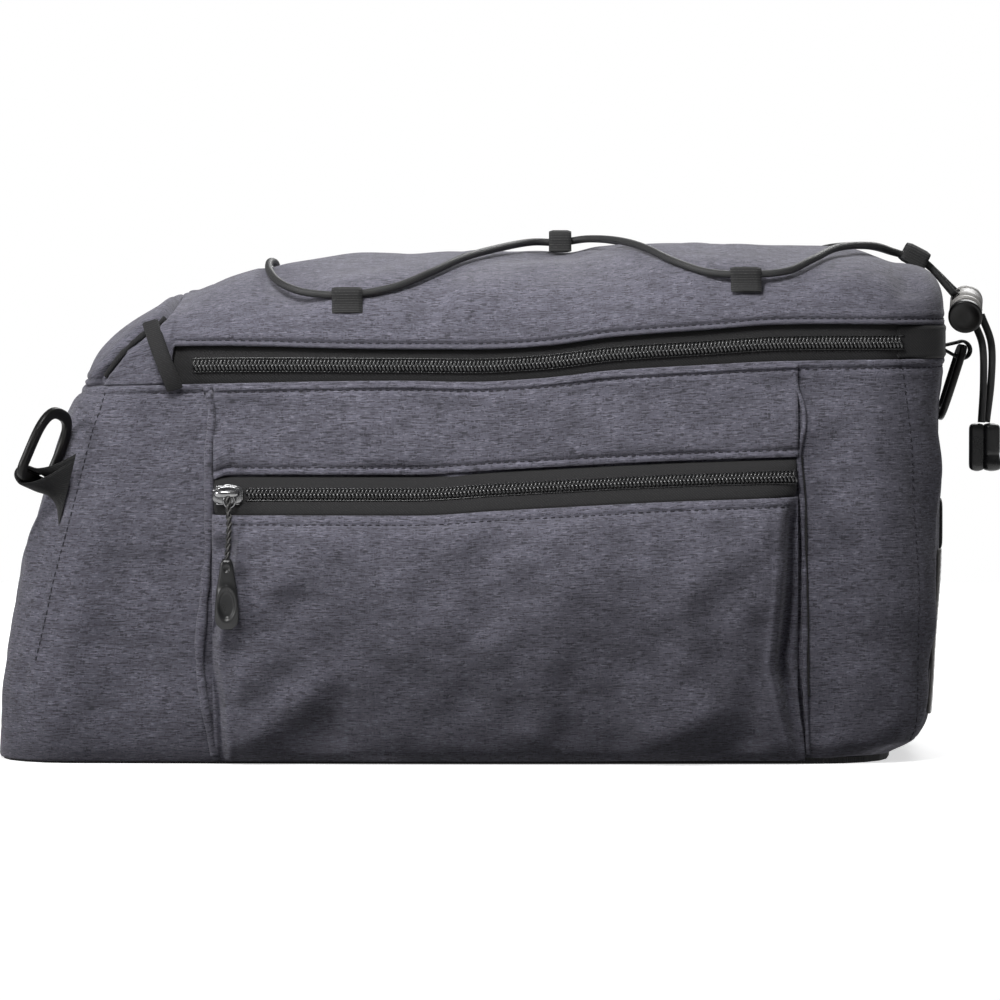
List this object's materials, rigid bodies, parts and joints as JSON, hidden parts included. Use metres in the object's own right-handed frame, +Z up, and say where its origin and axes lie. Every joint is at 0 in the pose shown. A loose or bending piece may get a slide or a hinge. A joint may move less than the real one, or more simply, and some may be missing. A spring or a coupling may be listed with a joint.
{
  "type": "bicycle rack bag",
  "caption": "Padded fabric trunk bag for a rear rack, with a zipped domed lid, side pockets and an elastic cord laced over the lid.",
  "frame": {"origin": "middle of the base panel's flat underside, at half the body's length", "axes": "+X to the bag's rear end, +Y to the far side, +Z up; the picture looks along +Y"},
  "size_m": [0.4046, 0.2068, 0.2103],
  "materials": {
    "fabric": "heather woven polyester, matt",
    "base_fabric": "black coated fabric, matt",
    "tape": "black woven tape",
    "coil": "black nylon coil, slightly glossy",
    "slider_metal": "gunmetal plated",
    "cord": "black braided cord",
    "webbing": "dark grey ribbed webbing",
    "black_plastic": "moulded, fine grain",
    "grey_plastic": "moulded grey",
    "reflective": "silver-grey reflective tape"
  },
  "bodies": {
    "bag": {"base_panel": "base_fabric", "body_shell": "fabric", "lid": "fabric", "upper_panel_near": "fabric", "upper_panel_far": "fabric", "pocket_near": "fabric", "pocket_far": "fabric", "lid_zip_tape": "tape", "lid_zip_end_near": "tape", "lid_zip_end_far": "tape", "rear_zip_band": "tape", "pocket_zip_tape_near": "tape", "pocket_zip_tape_far": "tape", "lid_zip_coil_near": "coil", "lid_zip_coil_far": "coil", "pocket_zip_coil_near": "coil", "pocket_zip_coil_far": "coil", "lid_slider": "slider_metal", "pocket_near_slider": "slider_metal", "pocket_far_slider": "slider_metal", "lid_pull_cord": "cord", "pocket_near_pull_cord": "cord", "pocket_far_pull_cord": "cord", "lid_pull_tab": "black_plastic", "pocket_near_pull_tab": "black_plastic", "pocket_far_pull_tab": "black_plastic", "lid_loop_front_near": "webbing", "lid_loop_front_far": "webbing", "lid_loop_rear_near": "webbing", "lid_loop_rear_far": "webbing", "centre_loop": "webbing", "tail_loop": "webbing", "front_ring_tab": "webbing", "rear_ring_tab": "webbing", "light_loop": "webbing", "elastic_cord": "cord", "cord_tail_1": "cord", "cord_tail_2": "cord", "cord_lock_barrel": "grey_plastic", "cord_end": "black_plastic", "front_ring": "black_plastic", "rear_ring": "black_plastic", "reflective_strip_near": "reflective", "reflective_strip_far": "reflective"},
    "lock_button": {"cord_lock_button": "black_plastic"}
  },
  "joints": [
    {"name": "lock_button_press", "type": "slide", "parent": "bag", "child": "lock_button", "axis": [0.1008, 0.9376, 0.3327], "range_m": [0, 0.003], "stiffness_N_per_m": 400, "springref_m": -0.004}
  ]
}
